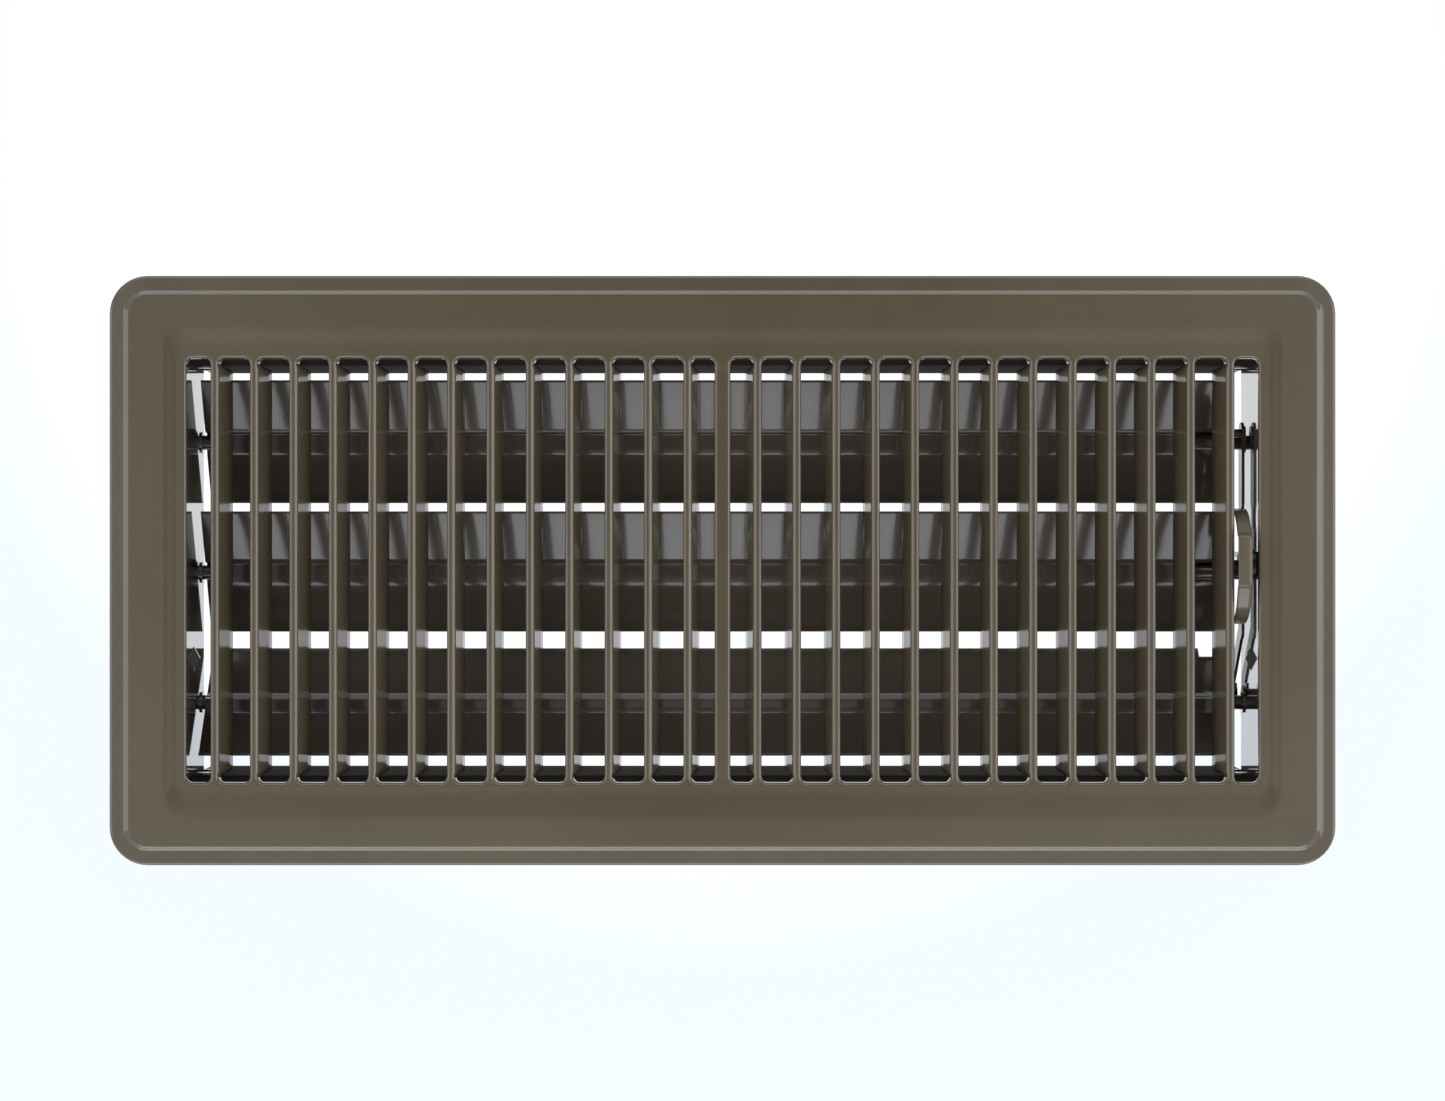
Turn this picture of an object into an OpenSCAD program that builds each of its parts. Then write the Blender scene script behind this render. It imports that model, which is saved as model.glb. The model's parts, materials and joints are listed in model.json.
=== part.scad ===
// Louvred floor register: a stamped steel face over a short duct neck, with three
// damper blades that a thumb lever swings together through a link bar.
// X runs along the louvre field, Y across it, Z up. Z = 0 is the neck's bottom edge.

/* [Face plate] */
// Length of the face
face_l = 288; // [280:1:300]
// Width of the face
face_w = 138.5; // [134:0.5:146]
// Height of the face above the floor
face_rise = 3; // [2.6:0.1:4]
// Radius of the face's corners
face_corner_r = 9; // [9:0.5:12]
// Thickness of the face's sheet
face_t = 0.8; // [0.6:0.1:0.9]

/* [Louvres] */
// Number of louvre bars each side of the centre bar
bars_side = 13; // [11:1:13]
// Distance from one bar to the next
bar_pitch = 9.25; // [9:0.05:9.3]
// Distance from the centre to the first bar's outer edge
bar_first = 9.2; // [8.8:0.1:9.4]
// Width of a bar's flat land
bar_land = 1.9; // [1.5:0.1:2.4]
// Half the width of the centre bar
centre_half = 1.87; // [1.5:0.01:2.4]
// Length of the slots between the bars
slot_l = 100.7; // [98:0.1:101]
// Half the length of the whole louvre field
field_half = 125.8; // [125.4:0.1:126]
// Radius of the slots' corners
slot_r = 1.7; // [1:0.1:2.4]
// Depth of the fins below the face's top
fin_depth = 7.5; // [5:0.1:8]
// Lean of the inner bars' fins, measured at their bottom edge
fin_lean_inner = 1.9; // [0:0.1:3]
// Lean of the outer bars' fins, measured at their bottom edge
fin_lean_outer = 2.6; // [0:0.1:3.5]
// Number of bars each side that have the smaller lean
bars_inner = 7; // [1:1:11]

/* [Neck] */
// Height from the neck's bottom edge to the face's top
neck_h = 43.5; // [43:0.5:50]
// Distance between the side rails' inner faces
neck_w = 97; // [96:0.5:97.5]
// Distance between the end plates' inner faces
neck_l = 252; // [252:0.5:253]
// Thickness of the side rails
rail_t = 0.8; // [0.6:0.1:0.9]
// Thickness of the end plates
end_t = 0.7; // [0.5:0.1:0.9]
// Depth of the end plates' bottom edge below the face's top
end_depth = 29; // [28.5:0.5:31]

/* [Damper blades] */
// Width of a blade
blade_w = 34; // [32:0.5:34]
// Thickness of a blade's sheet
blade_t = 0.5; // [0.4:0.1:0.6]
// Depth of the blades' pivots below the face's top
pivot_depth = 25.5; // [25:0.5:26]
// Distance from one blade pivot to the next
blade_pitch = 31.4; // [31:0.1:32]
// How far the row of blades sits off the centre line
blade_shift = -0.6; // [-0.8:0.1:0.8]
// Tilt of the rear and middle blades
blade_tilt = 31; // [25:1:35]
// Tilt of the front blade, which leans the other way
front_tilt = 45; // [40:1:48]
// Radius of the blades' trunnions
trunnion_r = 1.75; // [1.5:0.05:1.9]
// Running clearance around the trunnions
trunnion_gap = 0.07; // [0.03:0.01:0.1]

/* [Linkage] */
// Radius of the crank on each blade
crank_r = 7; // [6.5:0.1:7]
// Lean of the cranks from upright
crank_lean = 17; // [12:1:20]
// Radius of the link pins
pin_r = 1; // [0.8:0.1:1.1]
// Running clearance around the link pins
pin_gap = 0.06; // [0.03:0.01:0.1]
// Radius of the lever's thumb strip
lever_r = 14.5; // [14:0.1:15]
// Depth of the lever's pivot below the face's top
lever_depth = 12; // [11.5:0.1:12.5]
// Play at each side of the pin in the lever's fork
fork_gap = 0.6; // [0.55:0.05:0.8]

/* [Hidden] */
$fn = 48;
over = 1;                                   // how far a cutting tool runs past what it cuts

// Heights
floor_z = neck_h - face_rise;               // the floor that the rim rests on
sheet_z = neck_h - face_t;                  // underside of the face's flat part
pivot_z = neck_h - pivot_depth;
lever_z = neck_h - lever_depth;
end_z = neck_h - end_depth;

// Rim, from the outer edge inwards
lip_w = 3.8;                                // flat lip
lip_h = 1.8;                                // height of the lip's top above the floor
step_w = 1.2;                               // width of the step up to the flat part
lip_bevel = 0.6;
roll_h = 1.3;                               // depth of the rolled edges round the slots
roll_t = 0.7;
fin_taper = 0.7;                            // how much shorter a fin is at its bottom edge
fin_end_gap = 0.3;                          // from a fin's end to the rail

// Neck
rail_y = neck_w / 2;                        // inner face of a rail
end_x = neck_l / 2;                         // inner face of an end plate
rail_jog = 1.95;                            // how far the rail's top flares out past the slots
rail_jog_h = 6;
flange_w = 5.5;                             // flanges that lie against the face
tab_l = 6;                                  // end plates' side flanges, outside the rails
tab_top = neck_h - 7.3;
rivet_r = 1.2;
rivet_head_r = 2;
rivet_head_h = 0.4;
rivet_x = end_x - 3;
rivet_z = [end_z + 5, tab_top - 5];
lobe_r = 5;                                 // lobes of the end plates round the pivots
collar_h = 0.4;                             // collars drawn inwards round the pivot holes
collar_t = 0.8;
lance_y = -21;                              // triangular tab lanced inwards, between two blades
lance_z = neck_h - 13.8;
lance_l = 6.2;
lance_in = 1.5;
lance_t = 0.8;
lever_hole_r = 1.5;

// Blades
blade_y = [for (i = [1, 0, -1]) blade_shift + i * blade_pitch];
blade_x_left = -125.3;
blade_x_right = 120.2;
groove_half = 3.6;                          // stiffening groove along the blade's middle
groove_floor = 2.4;
groove_d = 1.85;
trunnion_in = 8;                            // how far a trunnion is held in the groove
trunnion_end = end_x + 1;                   // trunnions end at the duct wall
notch_l = 4;                                // notch in the front blade's low corner, by the link
notch_w = 3;

// Linkage, in layers along X
ear_x = 120.8;                              // crank ears of the blades
ear_t = 0.7;
ear_hub_r = 2.6;
ear_tip_r = 2.2;
bar_x = 124.2;
bar_t = 0.7;
bar_half = 2.6;
waist_half = 1.5;
pin_head_r = 1.7;
pin_head_h = 0.4;
crank_y = crank_r * sin(crank_lean);
crank_z = crank_r * cos(crank_lean);
pin_z = pivot_z + crank_z;                  // rear and middle pins
front_pin_z = pivot_z - crank_z;
link_y_rear = blade_y[0] + crank_y;
link_y_middle = blade_y[1] + crank_y;
link_y_front = blade_y[2] + crank_y;
waist_from = 16.5;                          // narrow stretch of the link bar
waist_to = 11;
tail_from = -14;                            // where the link bar turns down to the front blade
tail_half = 2.1;
slot_low = pivot_z - 2 * crank_r + crank_z; // lowest place of the front pin in the link's fork
slot_high = slot_low + 4.6;

// Lever
web_x = 123.3;
web_t = 0.7;
strip_x = 120.6;
strip_t = 0.8;
strip_rear = 68;                            // the thumb strip reaches this far to the rear
strip_front = 78;                           // and this far to the front
pad_angle = 22;                             // raised thumb pad, to each side of its middle
pad_shift = 3.5;                            // how far the pad's middle is turned to the rear
pad_h = 0.5;
web_angle = 40;
web_rim = 2.4;
hub_r = 4.2;
fork_half = pin_r + fork_gap;
prong_w = 1.4;
fork_reach = 9.4;
washer_r = 3.6;
lever_y = link_y_middle;

// ---- helpers -------------------------------------------------------------------------------

// A flat outline drawn in the Y-Z plane, extruded from x to x + t
module yz_plate(x, t) {
    translate([x, 0, 0]) rotate([90, 0, 90]) linear_extrude(t) children();
}

// A rod along X
module x_rod(x, y, z, r, l) {
    translate([x, y, z]) rotate([0, 90, 0]) cylinder(r = r, h = l);
}

// A rod along Y
module y_rod(x, y, z, r, l) {
    translate([x, y + l, z]) rotate([90, 0, 0]) cylinder(r = r, h = l);
}

module rounded_rect(x0, x1, y0, y1, r) {
    translate([x0 + r, y0]) square([x1 - x0 - 2 * r, y1 - y0]);
    translate([x0, y0 + r]) square([x1 - x0, y1 - y0 - 2 * r]);
    for (x = [x0 + r, x1 - r], y = [y0 + r, y1 - r])
        translate([x, y]) circle(r);
}

// A straight run between two points of an outline, with round ends
module run(p, q, half) {
    d = q - p;
    translate(p) circle(half);
    translate(q) circle(half);
    translate(p) rotate(atan2(d[1], d[0])) translate([0, -half]) square([norm(d), 2 * half]);
}

// ---- face plate ----------------------------------------------------------------------------

// The rim's section: x runs from the inner end of the section out to the face's edge
module rim_section() {
    r = face_corner_r;
    polygon([
        [0, neck_h], [r - lip_w - step_w, neck_h], [r - lip_w, floor_z + lip_h],
        [r - lip_bevel, floor_z + lip_h], [r, floor_z + lip_h - lip_bevel], [r, floor_z],
        [r - face_t, floor_z], [r - face_t, floor_z + lip_h - face_t],
        [r - lip_w - 0.3, floor_z + lip_h - face_t], [r - lip_w - step_w - 0.3, sheet_z], [0, sheet_z]
    ]);
}

module rim_side(length, out) {
    translate([0, out - face_corner_r, 0])
        rotate([90, 0, 90]) translate([0, 0, -length / 2]) linear_extrude(length) rim_section();
}

module rim() {
    inner_l = face_l - 2 * face_corner_r;
    inner_w = face_w - 2 * face_corner_r;
    for (a = [0, 180]) {
        rotate(a) rim_side(inner_l, face_w / 2);
        rotate(a + 90) rim_side(inner_w, face_l / 2);
    }
    for (sx = [0, 1], sy = [0, 1])
        mirror([sx, 0, 0]) mirror([0, sy, 0])
            translate([inner_l / 2, inner_w / 2, 0]) rotate_extrude(angle = 90) rim_section();
}

function bar_edge(k) = bar_first + k * bar_pitch;
function slot_in(k) = k == 0 ? centre_half : bar_edge(k - 1);
function slot_out(k) = k == bars_side ? field_half : bar_edge(k) - bar_land;
function fin_lean(k) = k < bars_inner ? fin_lean_inner : fin_lean_outer;

module slots() {
    for (s = [0, 1], k = [0 : bars_side])
        mirror([s, 0, 0])
            rounded_rect(slot_in(k), slot_out(k), -slot_l / 2, slot_l / 2, slot_r);
}

// One bar's bent section below the sheet: a rolled outer edge and a fin at the inner side
module bar_section(k) {
    edge = bar_edge(k);
    side = edge - bar_land;
    polygon([
        [side, neck_h - face_t / 2], [edge, neck_h - face_t / 2], [edge, neck_h - roll_h],
        [edge - roll_t, neck_h - roll_h], [edge - roll_t, sheet_z], [side + face_t, sheet_z],
        [side + face_t - fin_lean(k), neck_h - fin_depth], [side - fin_lean(k), neck_h - fin_depth]
    ]);
}

module fins() {
    fin_half = rail_y - fin_end_gap;
    intersection() {
        for (s = [0, 1], k = [0 : bars_side - 1])
            mirror([s, 0, 0]) translate([0, fin_half, 0]) rotate([90, 0, 0])
                linear_extrude(2 * fin_half) bar_section(k);
        yz_plate(-field_half, 2 * field_half)
            polygon([
                [-fin_half, neck_h], [fin_half, neck_h],
                [fin_half - fin_taper, neck_h - fin_depth], [fin_taper - fin_half, neck_h - fin_depth]
            ]);
    }
}

module face_plate() {
    inner_l = face_l - 2 * face_corner_r;
    inner_w = face_w - 2 * face_corner_r;
    color([0.39, 0.36, 0.30]) {
        rim();
        difference() {
            translate([-inner_l / 2, -inner_w / 2, sheet_z]) cube([inner_l, inner_w, face_t]);
            translate([0, 0, sheet_z - over]) linear_extrude(face_t + 2 * over) slots();
        }
        fins();
    }
}

// ---- neck ----------------------------------------------------------------------------------

module rail_section() {
    foot = rail_y + rail_t;
    jog_z = sheet_z - rail_jog_h;
    polygon([
        [rail_y, 0], [foot, 0], [foot, jog_z - 0.3], [foot + rail_jog, sheet_z - rail_t],
        [foot + rail_jog + flange_w, sheet_z - rail_t], [foot + rail_jog + flange_w, sheet_z],
        [foot + rail_jog - 0.4, sheet_z], [rail_y, jog_z]
    ]);
}

module side_rail() {
    color([0.17, 0.16, 0.15])
        difference() {
            yz_plate(-end_x, 2 * end_x) rail_section();
            for (x = [-rivet_x, rivet_x], z = rivet_z)
                y_rod(x, rail_y - over, z, rivet_r, rail_t + 2 * over);
        }
}

module side_rail_rear() {
    side_rail();
}

module side_rail_front() {
    mirror([0, 1, 0]) side_rail();
}

// Triangular tab lanced inwards, above the gap between the front and middle blades
module lanced_tab() {
    root = end_x + 0.1;
    translate([0, lance_y, lance_z]) linear_extrude(lance_t)
        polygon([[root, -lance_l / 2], [end_x - lance_in, 0], [root, lance_l / 2]]);
}

// The end plate on the +X side, without the lever's hole
module end_plate() {
    outer = rail_y + rail_t;
    color([0.42, 0.40, 0.36])
        difference() {
            union() {
                yz_plate(end_x, end_t) {
                    translate([-outer, end_z]) square([2 * outer, sheet_z - end_z]);
                    for (y = blade_y)
                        translate([y, pivot_z]) circle(lobe_r);
                }
                translate([end_x, -outer, sheet_z - end_t]) cube([flange_w + end_t, 2 * outer, end_t]);
                for (s = [0, 1])
                    mirror([0, s, 0])
                        translate([end_x + end_t - tab_l, outer, end_z])
                            cube([tab_l, end_t, tab_top - end_z]);
                for (y = blade_y)
                    x_rod(end_x - collar_h, y, pivot_z, trunnion_r + collar_t, collar_h + end_t);
                lanced_tab();
            }
            for (y = blade_y)
                x_rod(end_x - collar_h - over, y, pivot_z, trunnion_r + trunnion_gap, 2 * over + collar_h + end_t);
            for (s = [0, 1], z = rivet_z)
                mirror([0, s, 0])
                    y_rod(rivet_x, outer - over, z, rivet_r, end_t + 2 * over);
        }
}

module end_plate_right() {
    difference() {
        end_plate();
        x_rod(end_x - over, lever_y, lever_z, lever_hole_r, end_t + 2 * over);
    }
}

module end_plate_left() {
    mirror([1, 0, 0]) end_plate();
}

// Four rivets that hold one end plate's side flanges to the rails
module corner_rivets(side) {
    inner = rail_y;
    grip = rail_t + end_t;
    color([0.55, 0.54, 0.52])
        for (s = [0, 1], z = rivet_z)
            mirror([0, s, 0]) {
                y_rod(side * rivet_x, inner, z, rivet_r, grip);
                y_rod(side * rivet_x, inner - rivet_head_h, z, rivet_head_r, rivet_head_h);
                y_rod(side * rivet_x, inner + grip, z, rivet_head_r, rivet_head_h);
            }
}

module corner_rivets_left() {
    corner_rivets(-1);
}

module corner_rivets_right() {
    corner_rivets(1);
}

// ---- damper blades -------------------------------------------------------------------------

module blade_section() {
    h = blade_w / 2;
    t = blade_t / 2;
    polygon([
        [-h, t], [-groove_half, t], [-groove_floor, -groove_d + t], [groove_floor, -groove_d + t],
        [groove_half, t], [h, t], [h, -t], [groove_half + t, -t], [groove_floor + t, -groove_d - t],
        [-groove_floor - t, -groove_d - t], [-groove_half - t, -t], [-h, -t]
    ]);
}

// y is the pivot's place, tilt the blade's angle and up is 1 where the crank points up
module blade(y, tilt, up) {
    tip = [crank_y, up * crank_z];
    color([0.16, 0.15, 0.13])
        translate([0, y, pivot_z]) {
            yz_plate(blade_x_left, blade_x_right - blade_x_left) rotate(tilt) blade_section();
            x_rod(-trunnion_end, 0, 0, trunnion_r, trunnion_end + blade_x_left + trunnion_in);
            x_rod(blade_x_right - trunnion_in, 0, 0, trunnion_r, trunnion_end - blade_x_right + trunnion_in);
            difference() {
                yz_plate(ear_x, ear_t) {
                    run([0, 0], tip, ear_tip_r);
                    circle(ear_hub_r);
                }
                x_rod(ear_x - over, tip[0], tip[1], pin_r, ear_t + 2 * over);
            }
        }
}

module blade_rear() {
    blade(blade_y[0], blade_tilt, 1);
}

module blade_middle() {
    blade(blade_y[1], blade_tilt, 1);
}

module blade_front() {
    difference() {
        blade(blade_y[2], 180 - front_tilt, -1);
        translate([blade_x_right - notch_l, blade_y[2], pivot_z]) rotate([180 - front_tilt, 0, 0])
            translate([0, -blade_w / 2 - over, -over])
                cube([notch_l + over, notch_w + over, 2 * over]);
    }
}

// ---- linkage -------------------------------------------------------------------------------

// A pin riveted into a blade's ear. It runs in the link bar, and its outer head keeps the bar on
module link_pin(y, z) {
    head_x = bar_x + bar_t + 0.1;
    color([0.20, 0.19, 0.17]) {
        x_rod(ear_x - pin_head_h, y, z, pin_head_r, pin_head_h);
        x_rod(ear_x, y, z, pin_r, head_x - ear_x);
        x_rod(head_x, y, z, pin_head_r, pin_head_h);
    }
}

module link_pin_rear() {
    link_pin(link_y_rear, pin_z);
}

// The lever's fork works on the middle pin, between the ear and the link bar
module link_pin_middle() {
    link_pin(link_y_middle, pin_z);
}

module link_pin_front() {
    link_pin(link_y_front, front_pin_z);
}

module link_bar() {
    bend = [tail_from, pin_z];
    foot = [link_y_front + tail_half + 1, slot_low - 0.4];
    color([0.30, 0.29, 0.27])
        difference() {
            yz_plate(bar_x, bar_t) {
                run([link_y_rear, pin_z], [waist_from, pin_z], bar_half);
                run([waist_from, pin_z], [waist_to, pin_z], waist_half);
                run([waist_to - bar_half, pin_z], bend, bar_half);
                run(bend, foot, tail_half);
                run([link_y_front, slot_low], foot, tail_half + 0.4);
                translate([link_y_front - tail_half - 0.4, slot_low])
                    square([2 * tail_half + 0.8, slot_high - slot_low]);
            }
            for (y = [link_y_rear, link_y_middle])
                x_rod(bar_x - over, y, pin_z, pin_r + pin_gap, bar_t + 2 * over);
            x_rod(bar_x - over, link_y_front, slot_low, pin_r + pin_gap, bar_t + 2 * over);
            translate([bar_x - over, link_y_front - pin_r - pin_gap, slot_low])
                cube([bar_t + 2 * over, 2 * (pin_r + pin_gap), slot_high]);
        }
}

// A sector of a disc round straight up, from the front angle to the rear angle
module sector(r, front, rear) {
    far = 2 * r;
    intersection() {
        circle(r, $fn = 96);
        polygon([[0, 0], [-far * sin(front), far * cos(front)], [-far, far], [far, far],
                 [far * sin(rear), far * cos(rear)]]);
    }
}

module strip_outline() {
    difference() {
        union() {
            sector(lever_r, strip_front, strip_rear);
            sector(lever_r + pad_h, pad_angle - pad_shift, pad_angle + pad_shift);
        }
        circle(lever_r - strip_t, $fn = 96);
    }
}

module rocker_lever() {
    arm_half = fork_half + prong_w;
    color([0.39, 0.36, 0.30])
        translate([0, lever_y, lever_z]) {
            yz_plate(strip_x, web_x + web_t - strip_x) strip_outline();
            difference() {
                yz_plate(web_x, web_t) {
                    sector(lever_r - strip_t / 2, web_angle, web_angle);
                    circle(hub_r);
                    translate([-arm_half, -fork_reach]) square([2 * arm_half, fork_reach]);
                }
                translate([web_x - over, -fork_half, -fork_reach - over])
                    cube([web_t + 2 * over, 2 * fork_half, fork_reach + over - lever_hole_r - web_rim]);
                x_rod(web_x - over, 0, 0, lever_hole_r + pin_gap, web_t + 2 * over);
            }
        }
}

// Rivet through the lever, the washer and the end plate, with a low head outside
module lever_rivet() {
    color([0.62, 0.62, 0.60]) {
        x_rod(web_x - 0.6, lever_y, lever_z, 2.6, 0.5);
        x_rod(web_x - 0.1, lever_y, lever_z, lever_hole_r, end_x + end_t - web_x + 0.1);
        x_rod(end_x + end_t, lever_y, lever_z, 2.4, 0.3);
    }
}

// Spring washer that holds the lever where it is set
module friction_washer() {
    inner = lever_hole_r + pin_gap;
    from = web_x + web_t;
    color([0.55, 0.55, 0.54])
        translate([from, lever_y, lever_z]) rotate([0, 90, 0]) rotate_extrude()
            polygon([
                [inner, 0.02], [inner + 0.7, 0.02], [washer_r, end_x - from - 0.5], [washer_r, end_x - from],
                [washer_r - 0.7, end_x - from], [inner, 0.6]
            ]);
}

// ---- nodes ---------------------------------------------------------------------------------

face_plate();
side_rail_rear();
side_rail_front();
end_plate_left();
end_plate_right();
corner_rivets_left();
corner_rivets_right();
blade_rear();
blade_middle();
blade_front();
link_pin_rear();
link_pin_middle();
link_pin_front();
link_bar();
rocker_lever();
lever_rivet();
friction_washer();
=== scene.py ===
import json
import math

import bmesh
import bpy
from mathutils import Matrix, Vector


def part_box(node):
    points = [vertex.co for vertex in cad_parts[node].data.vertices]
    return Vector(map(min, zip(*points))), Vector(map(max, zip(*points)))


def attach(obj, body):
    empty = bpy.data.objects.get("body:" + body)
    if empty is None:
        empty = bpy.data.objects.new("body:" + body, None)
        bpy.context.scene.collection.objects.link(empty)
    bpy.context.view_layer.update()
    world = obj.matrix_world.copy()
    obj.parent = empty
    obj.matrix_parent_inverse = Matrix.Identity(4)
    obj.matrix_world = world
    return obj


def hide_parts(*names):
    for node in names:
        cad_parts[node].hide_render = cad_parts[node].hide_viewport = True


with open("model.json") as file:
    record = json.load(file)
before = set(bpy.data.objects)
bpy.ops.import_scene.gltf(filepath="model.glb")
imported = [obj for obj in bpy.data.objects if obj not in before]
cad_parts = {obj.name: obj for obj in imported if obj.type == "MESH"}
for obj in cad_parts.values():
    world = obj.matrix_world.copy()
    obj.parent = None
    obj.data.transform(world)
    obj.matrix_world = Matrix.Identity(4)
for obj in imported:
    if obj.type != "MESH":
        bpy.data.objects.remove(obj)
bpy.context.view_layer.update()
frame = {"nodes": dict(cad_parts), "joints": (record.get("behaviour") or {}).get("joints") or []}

MM = 0.001

# ---- sizes, in millimetres, taken from the frame -------------------------------------------


def box_mm(node):
    low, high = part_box(node)
    return [v / MM for v in low], [v / MM for v in high]


def joint_mm(name):
    for joint in frame["joints"]:
        if joint["name"] == name:
            return [v / MM for v in joint["pos_m"]]
    raise ValueError(name)


FACE_LOW, FACE_HIGH = box_mm("face_plate")
HALF_L, HALF_W = FACE_HIGH[0], FACE_HIGH[1]
TOP = FACE_HIGH[2]
FIN_BOTTOM = FACE_LOW[2]
FACE_RISE = 3.0
FLOOR = TOP - FACE_RISE
LIP_TOP = FLOOR + 2.2
SHEET = 0.7
CORNER_R = 9.0

BARS = 13
BAR_PITCH = 9.25
BAR_FIRST = 9.2
LAND = 1.9
CENTRE_HALF = 1.87
FIELD_HALF = 125.8
SLOT_HALF = 50.35
LEAN_INNER = 1.9
LEAN_OUTER = 2.6
BARS_INNER = 7
FIN_HALF = 49.3
FIN_TAPER = 2.4
DIP = 0.3
DIP_OUTER = (131.4, 58.6)
DIP_INNER = (128.0, 51.6)
FIELD_Z = TOP - DIP

BLADE_HALF = 17.0
BLADE_T = 0.5
NOTCH_L = 4.0
NOTCH_W = 3.0
BLADE_LEFT = -124.9
BLADE_RIGHT = 120.2
BLADE_TILT = 31.0
FRONT_TILT = 45.0
TRUNNION_R = 1.75
TRUNNION_END = 127.0
EAR_X = 120.8
EAR_T = 0.7
EAR_ROOT_R = 2.6
EAR_TIP_R = 2.2
PIVOTS = {
    "blade_rear": joint_mm("rear_blade_hinge"),
    "blade_middle": joint_mm("middle_blade_hinge"),
    "blade_front": joint_mm("front_blade_hinge"),
}
LINK_PIN = joint_mm("link_bar_pivot")
CRANK_Y = LINK_PIN[1] - PIVOTS["blade_middle"][1]
CRANK_Z = LINK_PIN[2] - PIVOTS["blade_middle"][2]
LEVER = joint_mm("lever_pivot")

# ---- small helpers -------------------------------------------------------------------------


def lerp(a, b, t):
    return a + (b - a) * t


def smooth(t):
    t = min(max(t, 0.0), 1.0)
    return t * t * (3 - 2 * t)


def turn(y, z, degrees):
    c, s = math.cos(math.radians(degrees)), math.sin(math.radians(degrees))
    return y * c - z * s, y * s + z * c


def to_object(name, bm, body):
    mesh = bpy.data.meshes.new(name)
    bmesh.ops.remove_doubles(bm, verts=bm.verts, dist=0.002)
    bmesh.ops.scale(bm, vec=(MM, MM, MM), verts=bm.verts)
    bm.to_mesh(mesh)
    bm.free()
    piece = bpy.data.objects.new(name, mesh)
    bpy.context.scene.collection.objects.link(piece)
    for polygon in mesh.polygons:
        polygon.use_smooth = True
    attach(piece, body)
    return piece


def loft(bm, rings, closed=True):
    """Quads between rings of points; each ring has the same number of points."""
    rows = [[bm.verts.new(p) for p in ring] for ring in rings]
    count = len(rows[0])
    last = count if closed else count - 1
    for a, b in zip(rows, rows[1:]):
        for i in range(last):
            j = (i + 1) % count
            bm.faces.new((a[i], a[j], b[j], b[i]))
    return rows


def face_up(bm):
    """Turns an open sheet so that its outer side is the one that looks up."""
    bmesh.ops.recalc_face_normals(bm, faces=bm.faces)
    if sum(f.normal.z * f.calc_area() for f in bm.faces) < 0:
        bmesh.ops.reverse_faces(bm, faces=bm.faces)


def cap(bm, row, flip=False):
    bm.faces.new(list(reversed(row)) if flip else row)


def solidify(piece, thickness):
    mod = piece.modifiers.new("Sheet", "SOLIDIFY")
    mod.thickness = thickness * MM
    mod.offset = -1.0
    mod.use_even_offset = True
    mod.use_quality_normals = True


def bevel(piece, width, segments=2, angle=35):
    mod = piece.modifiers.new("Edge", "BEVEL")
    mod.width = width * MM
    mod.segments = segments
    mod.limit_method = "ANGLE"
    mod.angle_limit = math.radians(angle)


def weighted(piece):
    mod = piece.modifiers.new("Normals", "WEIGHTED_NORMAL")
    mod.keep_sharp = False
    mod.weight = 80


def plate_yz(name, outline, x, t, body, edge=0.12):
    """A flat plate across X with that outline in Y and Z, with eased edges."""
    bm = bmesh.new()
    near = [bm.verts.new((x, y, z)) for y, z in outline]
    far = [bm.verts.new((x + t, y, z)) for y, z in outline]
    bm.faces.new(list(reversed(near)))
    bm.faces.new(far)
    for i in range(len(outline)):
        j = (i + 1) % len(outline)
        bm.faces.new((near[i], near[j], far[j], far[i]))
    bmesh.ops.recalc_face_normals(bm, faces=bm.faces)
    piece = to_object(name, bm, body)
    bevel(piece, edge)
    weighted(piece)
    return piece


def rod_rings(x0, x1, y, z, r, ease=0.25, sides=32):
    """Rings of a rod along X with eased ends."""
    stations = [(x0, r - ease), (x0 + ease * 0.4, r - ease * 0.3), (x0 + ease, r),
                (x1 - ease, r), (x1 - ease * 0.4, r - ease * 0.3), (x1, r - ease)]
    angles = [2 * math.pi * i / sides for i in range(sides)]
    return [[(x, y + q * math.cos(a), z + q * math.sin(a)) for a in angles] for x, q in stations]


def add_rod(bm, x0, x1, y, z, r):
    rows = loft(bm, rod_rings(x0, x1, y, z, r))
    cap(bm, rows[0])
    cap(bm, rows[-1], flip=True)


# ---- materials -----------------------------------------------------------------------------


def new_material(name):
    mat = bpy.data.materials.new(name)
    mat.use_nodes = True
    tree = mat.node_tree
    shader = tree.nodes["Principled BSDF"]
    return mat, tree, shader


def noise(tree, coords, scale, detail=2.0, stretch=(1, 1, 1)):
    mapping = tree.nodes.new("ShaderNodeMapping")
    mapping.inputs["Scale"].default_value = stretch
    tree.links.new(coords, mapping.inputs["Vector"])
    node = tree.nodes.new("ShaderNodeTexNoise")
    node.inputs["Scale"].default_value = scale
    node.inputs["Detail"].default_value = detail
    tree.links.new(mapping.outputs["Vector"], node.inputs["Vector"])
    return node.outputs["Fac"]


def ramp(tree, value, stops):
    node = tree.nodes.new("ShaderNodeValToRGB")
    elements = node.color_ramp.elements
    while len(elements) < len(stops):
        elements.new(0.5)
    for element, (place, colour) in zip(elements, stops):
        element.position = place
        element.color = (*colour, 1)
    tree.links.new(value, node.inputs["Fac"])
    return node.outputs["Color"]


def spread(tree, value, low, high):
    node = tree.nodes.new("ShaderNodeMapRange")
    node.inputs["To Min"].default_value = low
    node.inputs["To Max"].default_value = high
    tree.links.new(value, node.inputs["Value"])
    return node.outputs["Result"]


def calc(tree, operation, first, second=None):
    node = tree.nodes.new("ShaderNodeMath")
    node.operation = operation
    tree.links.new(first, node.inputs[0])
    if isinstance(second, float):
        node.inputs[1].default_value = second
    elif second is not None:
        tree.links.new(second, node.inputs[1])
    return node.outputs["Value"]


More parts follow.
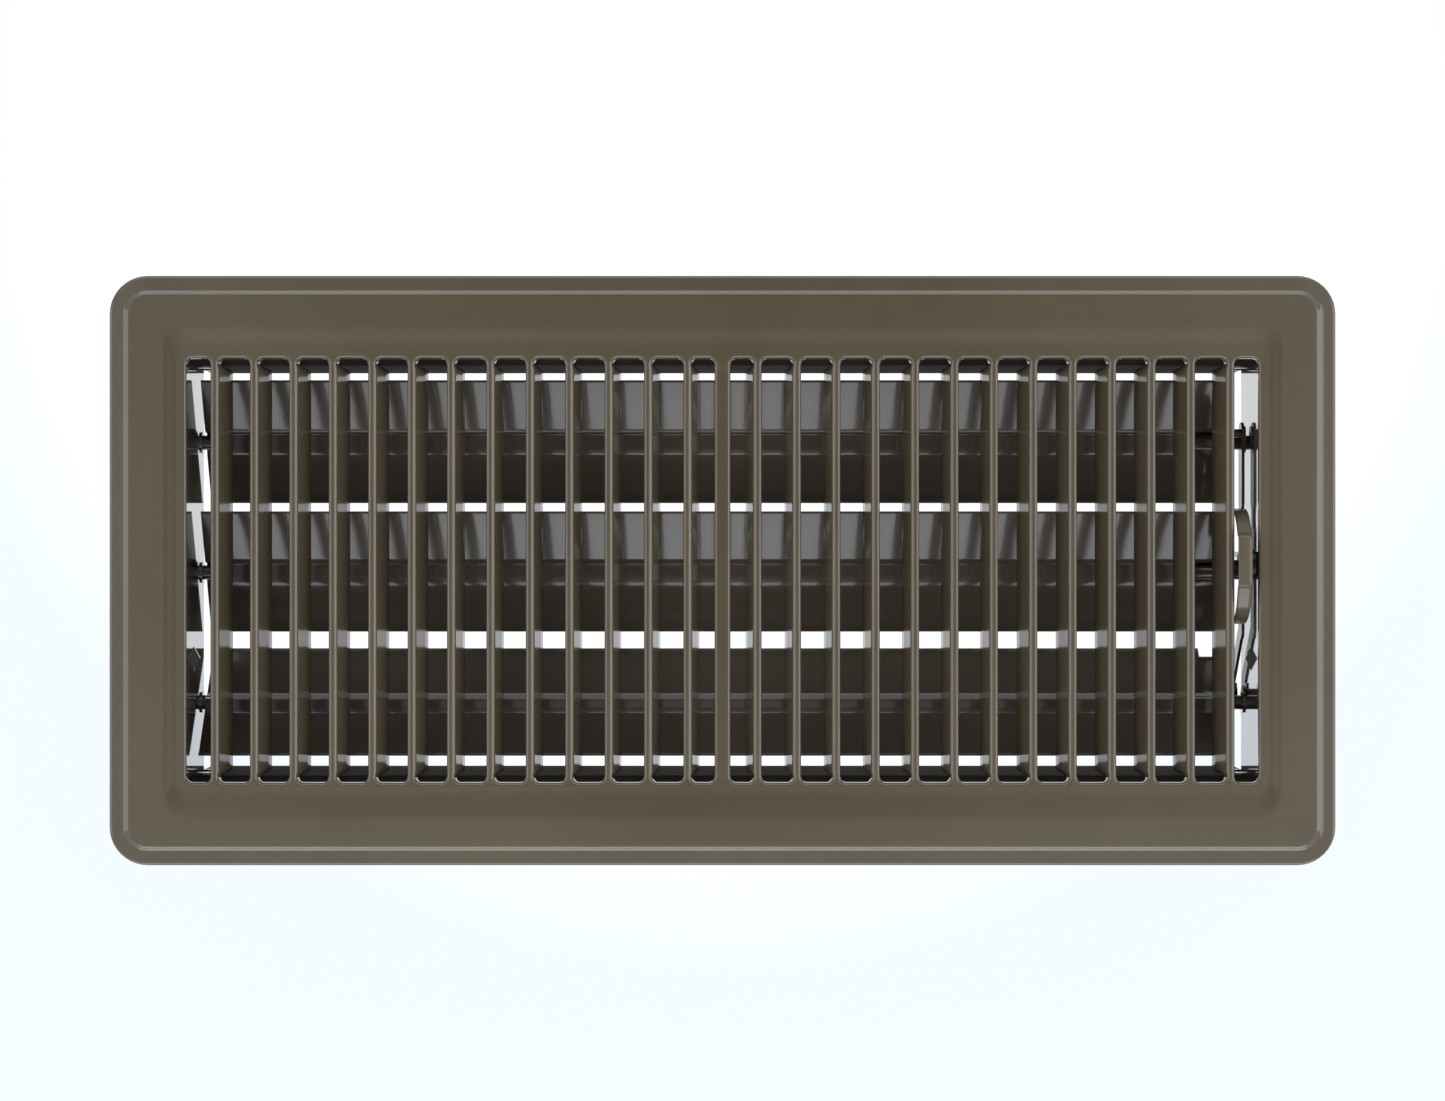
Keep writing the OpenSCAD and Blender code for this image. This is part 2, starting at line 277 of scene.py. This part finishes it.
def bump(tree, shader, height, strength, distance):
    node = tree.nodes.new("ShaderNodeBump")
    node.inputs["Strength"].default_value = strength
    node.inputs["Distance"].default_value = distance * MM
    tree.links.new(height, node.inputs["Height"])
    tree.links.new(node.outputs["Normal"], shader.inputs["Normal"])


def tint(colour, k):
    return tuple(min(c * k, 1.0) for c in colour)


def enamel(name, colour, rough, peel=0.25, mottle=0.06, coat=0.0, shine=0.5):
    """Sprayed enamel: orange peel, slow mottling of colour and gloss, and fine dust nibs."""
    mat, tree, shader = new_material(name)
    coords = tree.nodes.new("ShaderNodeTexCoord").outputs["Object"]
    slow = noise(tree, coords, 28, 3)
    fine = noise(tree, coords, 420, 3)
    colours = ramp(tree, slow, [(0.3, tint(colour, 1 - mottle)), (0.7, tint(colour, 1 + mottle))])
    specks = ramp(tree, noise(tree, coords, 1500, 1), [(0.74, (0, 0, 0)), (0.80, (1, 1, 1))])
    mix = tree.nodes.new("ShaderNodeMix")
    mix.data_type = "RGBA"
    mix.inputs["B"].default_value = (*tint(colour, 1.5), 1)
    tree.links.new(specks, mix.inputs["Factor"])
    tree.links.new(colours, mix.inputs["A"])
    tree.links.new(mix.outputs["Result"], shader.inputs["Base Color"])
    tree.links.new(spread(tree, noise(tree, coords, 60, 4), *rough), shader.inputs["Roughness"])
    shader.inputs["Specular IOR Level"].default_value = shine
    shader.inputs["Coat Weight"].default_value = coat
    shader.inputs["Coat Roughness"].default_value = 0.03
    bump(tree, shader, fine, peel, 0.05)
    return mat


def bare_metal(name, colour, rough=(0.25, 0.4)):
    """Plated steel with fine turning marks and dull patches."""
    mat, tree, shader = new_material(name)
    coords = tree.nodes.new("ShaderNodeTexCoord").outputs["Object"]
    marks = noise(tree, coords, 900, 2, (6, 1, 1))
    patches = noise(tree, coords, 260, 3)
    colours = ramp(tree, patches, [(0.35, tint(colour, 0.8)), (0.65, colour)])
    tree.links.new(colours, shader.inputs["Base Color"])
    tree.links.new(spread(tree, marks, *rough), shader.inputs["Roughness"])
    shader.inputs["Metallic"].default_value = 1.0
    bump(tree, shader, marks, 0.15, 0.03)
    return mat


FACE_BROWN = (0.082, 0.066, 0.040)
face_paint = enamel("face_enamel", FACE_BROWN, (0.07, 0.12), 0.12, coat=0.6)
lever_paint = enamel("lever_enamel", (0.090, 0.073, 0.049), (0.16, 0.26), 0.3)
# painted shade: the blades take a slightly darker copy of the face brown, standing for the shade they
# sit in under the face
blade_paint = enamel("blade_enamel", (0.078, 0.063, 0.048), (0.08, 0.13), 0.15, 0.10)
# painted shade: the side rails take a near-black copy of the brown enamel, standing for the unlit inner
# faces of the neck
rail_paint = enamel("rail_shade_enamel", (0.022, 0.017, 0.013), (0.75, 0.95), 0.6, 0.25, shine=0.03)
end_paint = enamel("end_plate_enamel", (0.10, 0.085, 0.065), (0.05, 0.09), 0.15, 0.08, coat=0.6)
# painted shade: a near-black copy of the brown enamel for the links, pins and lever web, standing for
# the shade down in the box
link_paint = enamel("link_enamel", (0.035, 0.029, 0.021), (0.15, 0.25), 0.3, 0.12)
zinc = bare_metal("zinc_plate", (0.50, 0.50, 0.49))
spring_steel = bare_metal("spring_steel", (0.10, 0.10, 0.10), (0.3, 0.45))


def paint(piece, material):
    piece.data.materials.clear()
    piece.data.materials.append(material)


# ---- face plate ----------------------------------------------------------------------------


def rounded_loop(half_x, half_y, r, z, steps=10):
    points = []
    for sx, sy, start in ((1, 1, 0), (-1, 1, 90), (-1, -1, 180), (1, -1, 270)):
        for i in range(steps + 1):
            a = math.radians(start + 90 * i / steps)
            points.append((sx * (half_x - r) + r * math.cos(a), sy * (half_y - r) + r * math.sin(a), z))
    return points


def rim_profile():
    """(distance in from the edge, height) from the hem's bottom to the flat part."""
    hem_r = 0.75
    step_from, step_to, step_foot = 3.3, 4.7, LIP_TOP + 0.2
    points = [(0.0, FLOOR), (0.0, FLOOR + 0.5), (0.0, LIP_TOP - hem_r)]
    for i in range(1, 6):
        a = math.radians(90 * i / 5)
        points.append((hem_r * (1 - math.cos(a)), LIP_TOP - hem_r * (1 - math.sin(a))))
    points += [(1.6, LIP_TOP + 0.04), (2.6, LIP_TOP + 0.12), (step_from, step_foot)]
    for i in range(1, 9):
        t = i / 8
        points.append((lerp(step_from, step_to, t), lerp(step_foot, TOP, smooth(t))))
    points += [(6.0, TOP), (8.4, TOP)]
    return points


def dip_rings():
    """The shallow step down to the louvre field."""
    rings = []
    for i in range(7):
        t = i / 6
        half_x = lerp(DIP_OUTER[0], DIP_INNER[0], t)
        half_y = lerp(DIP_OUTER[1], DIP_INNER[1], t)
        rings.append(rounded_loop(half_x, half_y, lerp(5.0, 4.0, t), lerp(TOP, FIELD_Z, smooth(t))))
    return rings


def bar_edge(k):
    return BAR_FIRST + k * BAR_PITCH


ROLL = (0.7, 86.0, 1.3)      # radius, turn in degrees and depth of a rolled cut edge
END_LIP = (0.7, 82.3, 2.1)   # the same for the lips at the slots' ends
FIN_ROLL_R = 1.2             # radius of the roll that leads down into a fin


def blend_rule(a, b, t):
    return tuple(lerp(p, q, t) for p, q in zip(a, b))


def edge_path(rule, arc_steps=6, flat_steps=3):
    """(inset, drop) points of an edge that turns down through an arc, then runs straight."""
    r, degrees, depth = rule
    full = math.radians(degrees)
    path = []
    for i in range(arc_steps + 1):
        a = full * i / arc_steps
        path.append((r * math.sin(a), r * (1 - math.cos(a))))
    inset, drop = path[-1]
    for i in range(1, flat_steps + 1):
        d = lerp(drop, max(depth, drop + 0.05), i / flat_steps)
        path.append((inset + (d - drop) / math.tan(full), d))
    return path


def long_side_steps(half):
    """Places along a slot's long side, close together near its ends."""
    upper = [half - 0.2 * i for i in range(1, 9)]
    upper += [half - 1.6 - 0.8 * i for i in range(1, 5)]
    upper += [lerp(half - 4.8, 0, i / 8) for i in range(1, 8)]
    return upper + [0.0] + [-y for y in reversed(upper)]


def slot_outline(x0, x1, lean, corner=2.2, steps=6):
    """Counter-clockwise (point, inward normal, edge rule) round a slot.

    Side x1 carries a fin that leans by lean, or none if lean is 0.
    """
    run = SLOT_HALF + 0.2 - corner
    outline = []

    def side_rule(y):
        if lean == 0:
            return ROLL
        turn_down = 90 - math.degrees(math.atan2(lean, TOP - FIN_BOTTOM))
        w = smooth((FIN_HALF - abs(y)) / FIN_TAPER)
        return blend_rule(ROLL, (FIN_ROLL_R, turn_down, FIELD_Z - FIN_BOTTOM), w)

    def corner_points(cx, cy, start, first, last):
        for i in range(steps + 1):
            t = i / steps
            a = math.radians(start + 90 * t)
            point = (cx + corner * math.cos(a), cy + corner * math.sin(a))
            outline.append((point, (-math.cos(a), -math.sin(a)), blend_rule(first, last, smooth(t))))

    for y in reversed(long_side_steps(run)):
        outline.append(((x1, y), (-1, 0), side_rule(y)))
    corner_points(x1 - corner, run, 0, side_rule(run), END_LIP)
    corner_points(x0 + corner, run, 90, END_LIP, ROLL)
    for y in long_side_steps(run):
        outline.append(((x0, y), (1, 0), ROLL))
    corner_points(x0 + corner, -run, 180, ROLL, END_LIP)
    corner_points(x1 - corner, -run, 270, END_LIP, side_rule(run))
    return outline


def slot_rings(k, mirror):
    inner = CENTRE_HALF if k == 0 else bar_edge(k - 1)
    last = k == BARS
    outer = FIELD_HALF if last else bar_edge(k) - LAND
    lean = 0 if last else (LEAN_INNER if k < BARS_INNER else LEAN_OUTER)
    outline = slot_outline(inner - ROLL[0], outer + (ROLL[0] if last else 0.9), lean)
    paths = [edge_path(rule) for _, _, rule in outline]
    rings = []
    for j in range(len(paths[0])):
        ring = []
        for (point, normal, _), path in zip(outline, paths):
            inset, drop = path[j]
            x = point[0] + normal[0] * inset
            ring.append((-x if mirror else x, point[1] + normal[1] * inset, FIELD_Z - drop))
        rings.append(list(reversed(ring)) if mirror else ring)
    return rings


def make_face_plate():
    bm = bmesh.new()
    rings = [rounded_loop(HALF_L - d, HALF_W - d, max(CORNER_R - d, 0.6), z) for d, z in rim_profile()]
    rings += dip_rings()
    rows = loft(bm, rings)
    field_edges = {e for v in rows[-1] for e in v.link_edges if e.other_vert(v) in rows[-1]}
    for k in range(BARS + 1):
        for mirror in (False, True):
            rows = loft(bm, slot_rings(k, mirror))
            top = set(rows[0])
            field_edges |= {e for v in rows[0] for e in v.link_edges if e.other_vert(v) in top}
    filled = bmesh.ops.triangle_fill(bm, use_beauty=True, edges=list(field_edges))
    for face in filled["geom"]:
        if isinstance(face, bmesh.types.BMFace) and face.normal.z < 0:
            face.normal_flip()
    piece = to_object("face_sheet", bm, "frame")
    solidify(piece, SHEET)
    weighted(piece)
    paint(piece, face_paint)
    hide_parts("face_plate")


# ---- damper blades -------------------------------------------------------------------------


def blade_profile():
    """(along the blade's width, height) of its top skin: hemmed edges and an uneven V groove."""
    groove = [(-4.2, 0.25), (-3.4, 0.25), (-2.9, 0.22), (-2.5, 0.13), (-2.1, -0.03), (-1.0, -0.70),
              (0.2, -1.43), (1.0, -1.90), (1.2, -1.98), (1.4, -1.92), (1.7, -1.7), (2.5, -0.4),
              (2.7, -0.2), (3.0, -0.06), (3.5, 0.17), (3.7, 0.23), (3.9, 0.25), (4.2, 0.25)]
    left = [(-BLADE_HALF, -0.2), (-BLADE_HALF + 0.1, 0.1), (-BLADE_HALF + 0.5, 0.25),
            (-12.0, 0.25), (-8.0, 0.25)]
    return left + groove + [(-u, w) for u, w in reversed(left)]


def capsule(p, q, rp, rq, steps=14):
    """Outline round two circles and their outer tangents."""
    dy, dz = q[0] - p[0], q[1] - p[1]
    along = math.atan2(dz, dy)
    spread_angle = math.acos((rp - rq) / math.hypot(dy, dz))
    outline = []
    for i in range(steps + 1):
        a = along + lerp(spread_angle, 2 * math.pi - spread_angle, i / steps)
        outline.append((p[0] + rp * math.cos(a), p[1] + rp * math.sin(a)))
    for i in range(steps + 1):
        a = along + lerp(-spread_angle, spread_angle, i / steps)
        outline.append((q[0] + rq * math.cos(a), q[1] + rq * math.sin(a)))
    return outline


def make_blade(node, tilt, up, notch=0.0):
    """notch is how far the sheet's far edge is cut back at the linkage end."""
    _, y0, z0 = PIVOTS[node]
    back = BLADE_T if up < 0 else 0.0   # the front blade shows its other side
    bm = bmesh.new()
    stations = 24
    notch_x = BLADE_RIGHT - NOTCH_L
    places = [(lerp(BLADE_LEFT, notch_x, i / stations), 0.0) for i in range(stations + 1)]
    places += [(notch_x + 0.02, notch), (BLADE_RIGHT, notch)]
    rings = []
    for x, cut in places:
        ring = []
        for u, w in blade_profile():
            dy, dz = turn(max(u, cut - BLADE_HALF), w - back, tilt)
            ring.append((x, y0 + dy, z0 + dz))
        rings.append(ring)
    loft(bm, rings, closed=False)
    face_up(bm)
    sheet = to_object(node + "_sheet", bm, node)
    solidify(sheet, BLADE_T)
    weighted(sheet)
    paint(sheet, blade_paint)

    bm = bmesh.new()
    add_rod(bm, -TRUNNION_END, BLADE_LEFT + 6, y0, z0, TRUNNION_R)
    add_rod(bm, BLADE_RIGHT - 6, TRUNNION_END, y0, z0, TRUNNION_R)
    trunnions = to_object(node + "_trunnions", bm, node)
    weighted(trunnions)
    paint(trunnions, blade_paint)

    tip = (y0 + CRANK_Y, z0 + up * CRANK_Z)
    ear = plate_yz(node + "_ear", capsule((y0, z0), tip, EAR_ROOT_R, EAR_TIP_R), EAR_X, EAR_T, node)
    paint(ear, blade_paint)
    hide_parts(node)
    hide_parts(node)
    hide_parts(node)


# ---- lever ---------------------------------------------------------------------------------


# the thumb strip's outer skin, from front to rear, measured from the lever's pivot
STRIP_PATH = [(-14.2, 3.0), (-14.0, 5.4), (-13.1, 7.9), (-11.8, 10.0), (-10.7, 11.1), (-10.4, 11.45),
              (-10.0, 11.75), (-8.0, 12.95), (-6.1, 13.85), (-5.5, 14.15), (-5.2, 14.6), (-4.8, 14.85),
              (-3.9, 14.95), (1.0, 15.0), (5.9, 14.95), (6.6, 14.8), (6.95, 14.4), (7.2, 13.6),
              (7.7, 13.1), (9.6, 11.7), (11.4, 9.7), (12.6, 7.5), (13.2, 5.5)]
STRIP_X = (120.6, 124.0)
STRIP_T = 0.75
WEB_X = 123.3
WEB_T = 0.7
WEB_R = 13.7         # the web's arc under the strip
WEB_ANGLE = 40
FORK_HALF = 1.6      # half the gap between the prongs that straddle the middle pin
PRONG = 1.4
FORK_REACH = 9.4
HUB_LOW = 3.9


def make_lever():
    _, y0, z0 = LEVER
    x_low, x_high = STRIP_X
    section = [(x_low, -0.5), (x_low + 0.12, -0.14), (x_low + 0.45, 0.0), (x_high - 0.9, 0.0),
               (x_high - 0.35, -0.12), (x_high - 0.06, -0.45), (x_high, -1.0)]
    bm = bmesh.new()
    rings = []
    for i, (y, z) in enumerate(STRIP_PATH):
        before, after = STRIP_PATH[max(i - 1, 0)], STRIP_PATH[min(i + 1, len(STRIP_PATH) - 1)]
        along_y, along_z = after[0] - before[0], after[1] - before[1]
        size = math.hypot(along_y, along_z)
        out_y, out_z = -along_z / size, along_y / size
        rings.append([(x, y0 + y + out_y * h, z0 + z + out_z * h) for x, h in section])
    loft(bm, rings, closed=False)
    face_up(bm)
    strip = to_object("lever_thumb_strip", bm, "lever")
    solidify(strip, STRIP_T)
    weighted(strip)
    paint(strip, lever_paint)

    arm = FORK_HALF + PRONG
    outline = []
    for i in range(25):
        a = math.radians(lerp(WEB_ANGLE, -WEB_ANGLE, i / 24))
        outline.append((WEB_R * math.sin(a), WEB_R * math.cos(a)))
    outline += [(-4.3, 1.2), (-4.0, -1.0), (-arm, -3.0), (-arm, -FORK_REACH), (-FORK_HALF, -FORK_REACH)]
    for i in range(9):
        a = math.radians(lerp(180, 0, i / 8))
        outline.append((FORK_HALF * math.cos(a), -HUB_LOW - FORK_HALF + FORK_HALF * math.sin(a)))
    outline += [(FORK_HALF, -FORK_REACH), (arm, -FORK_REACH), (arm, -3.0), (4.0, -1.0), (4.3, 1.2)]
    web = plate_yz("lever_web", [(y0 + y, z0 + z) for y, z in reversed(outline)], WEB_X, WEB_T, "lever")
    paint(web, link_paint)
    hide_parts("rocker_lever")
    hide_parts("rocker_lever")


# ---- carried-over CAD nodes ----------------------------------------------------------------

CARRIED = {
    "side_rail_rear": (rail_paint, 0.15), "side_rail_front": (rail_paint, 0.15),
    "end_plate_left": (end_paint, 0.12), "end_plate_right": (end_paint, 0.12),
    "corner_rivets_left": (zinc, 0.12), "corner_rivets_right": (zinc, 0.12),
    "link_pin_rear": (link_paint, 0.15), "link_pin_middle": (link_paint, 0.15),
    "link_pin_front": (link_paint, 0.15),
    "link_bar": (link_paint, 0.1), "lever_rivet": (zinc, 0.1), "friction_washer": (spring_steel, 0.05),
}


def dress_carried_nodes():
    for node, (material, edge) in CARRIED.items():
        piece = frame["nodes"][node]
        piece.data.materials.clear()
        piece.data.materials.append(material)
        bevel(piece, edge, 2, 40)
        weighted(piece)


# ---- stage ---------------------------------------------------------------------------------


FLOOR_SIZE = 6
FLOOR_DROP = 0.0002                 # under the part, in metres
FLOOR_CENTRE = (0, 0.1, 0)          # the floor's glow fades from here, in metres
FLOOR_GLOW = [(0.15, (0.96, 0.98, 1.0)), (0.20, (0.79, 0.85, 0.93))]
# the studio's brightness by height, from the horizon (0) to straight up (1)
WALLS = [(0.0, (0.3, 0.31, 0.33)), (0.28, (0.4, 0.43, 0.47)), (0.44, (1.05, 1.14, 1.3)),
         (0.62, (0.42, 0.44, 0.48)), (1.0, (0.03, 0.03, 0.03))]
SPILL = 0.58                        # brightness of the glow round the dark patch overhead


def make_floor():
    bpy.ops.mesh.primitive_plane_add(size=FLOOR_SIZE, location=(0, 0, -FLOOR_DROP))
    floor = bpy.context.object
    floor.name = "floor"
    mat, tree, shader = new_material("bright_floor")
    shader.inputs["Base Color"].default_value = (0.04, 0.04, 0.045, 1)
    shader.inputs["Roughness"].default_value = 0.9
    shader.inputs["Specular IOR Level"].default_value = 0.0
    coords = tree.nodes.new("ShaderNodeTexCoord").outputs["Object"]
    away = tree.nodes.new("ShaderNodeVectorMath")
    away.operation = "DISTANCE"
    tree.links.new(coords, away.inputs[0])
    away.inputs[1].default_value = FLOOR_CENTRE
    glow = ramp(tree, away.outputs["Value"], FLOOR_GLOW)
    tree.links.new(glow, shader.inputs["Emission Color"])
    shader.inputs["Emission Strength"].default_value = 1.1
    floor.data.materials.append(mat)


def make_world():
    """Pale walls that are brighter to the front and rear, with a dark patch overhead."""
    world = bpy.data.worlds.new("studio")
    bpy.context.scene.world = world
    world.use_nodes = True
    tree = world.node_tree
    background = tree.nodes["Background"]
    way = tree.nodes.new("ShaderNodeSeparateXYZ")
    tree.links.new(tree.nodes.new("ShaderNodeTexCoord").outputs["Generated"], way.inputs["Vector"])
    walls = ramp(tree, way.outputs["Z"], WALLS)
    across = calc(tree, "ABSOLUTE", way.outputs["Y"])
    ends = calc(tree, "ABSOLUTE", way.outputs["X"])
    near = calc(tree, "MAXIMUM", calc(tree, "MULTIPLY", way.outputs["Y"], -1.0), 0.0)
    spill = calc(tree, "ADD", calc(tree, "MULTIPLY", ends, 4.0), calc(tree, "MULTIPLY", near, 7.0))
    spill = calc(tree, "MULTIPLY", calc(tree, "MINIMUM", spill, 1.0), SPILL)
    spill = calc(tree, "MULTIPLY", spill, calc(tree, "MAXIMUM", way.outputs["Z"], 0.0))
    glow = tree.nodes.new("ShaderNodeVectorMath")
    glow.operation = "SCALE"
    tree.links.new(walls, glow.inputs[0])
    tree.links.new(spread(tree, across, 0.6, 1.5), glow.inputs["Scale"])
    total = tree.nodes.new("ShaderNodeVectorMath")
    total.operation = "ADD"
    tree.links.new(glow.outputs["Vector"], total.inputs[0])
    tree.links.new(spill, total.inputs[1])
    tree.links.new(total.outputs["Vector"], background.inputs["Color"])
    background.inputs["Strength"].default_value = 1.0


def area_light(name, place, size, power):
    """A soft box that faces the origin."""
    data = bpy.data.lights.new(name, "AREA")
    data.shape = "RECTANGLE"
    data.size, data.size_y = size
    data.energy = power
    lamp = bpy.data.objects.new(name, data)
    bpy.context.scene.collection.objects.link(lamp)
    lamp.location = place
    lamp.rotation_euler = (-Vector(place)).to_track_quat("-Z", "Y").to_euler()


def make_lights():
    area_light("rear_box", (0, 0.85, 0.62), (1.2, 0.5), 1.8)
    area_light("front_box", (0, -0.80, 0.60), (1.2, 0.5), 3.6)
    area_light("left_box", (-0.85, 0, 0.55), (0.5, 1.0), 1.9)
    area_light("right_box", (0.80, 0, 0.55), (0.5, 1.0), 2.7)


CAMERA_Y = 0.0047        # in metres
CAMERA_HEIGHT = 0.8      # over the face, in metres


def make_camera():
    data = bpy.data.cameras.new("camera")
    data.lens = 85
    data.sensor_width = 36
    camera = bpy.data.objects.new("camera", data)
    bpy.context.scene.collection.objects.link(camera)
    camera.location = (0, CAMERA_Y, TOP * MM + CAMERA_HEIGHT)
    bpy.context.scene.camera = camera


make_camera()
make_floor()
make_world()
make_lights()
make_face_plate()
make_blade("blade_rear", BLADE_TILT, 1)
make_blade("blade_middle", BLADE_TILT, 1)
make_blade("blade_front", 180 - FRONT_TILT, -1, NOTCH_W)
make_lever()
dress_carried_nodes()
bpy.context.scene.view_settings.view_transform = "Standard"
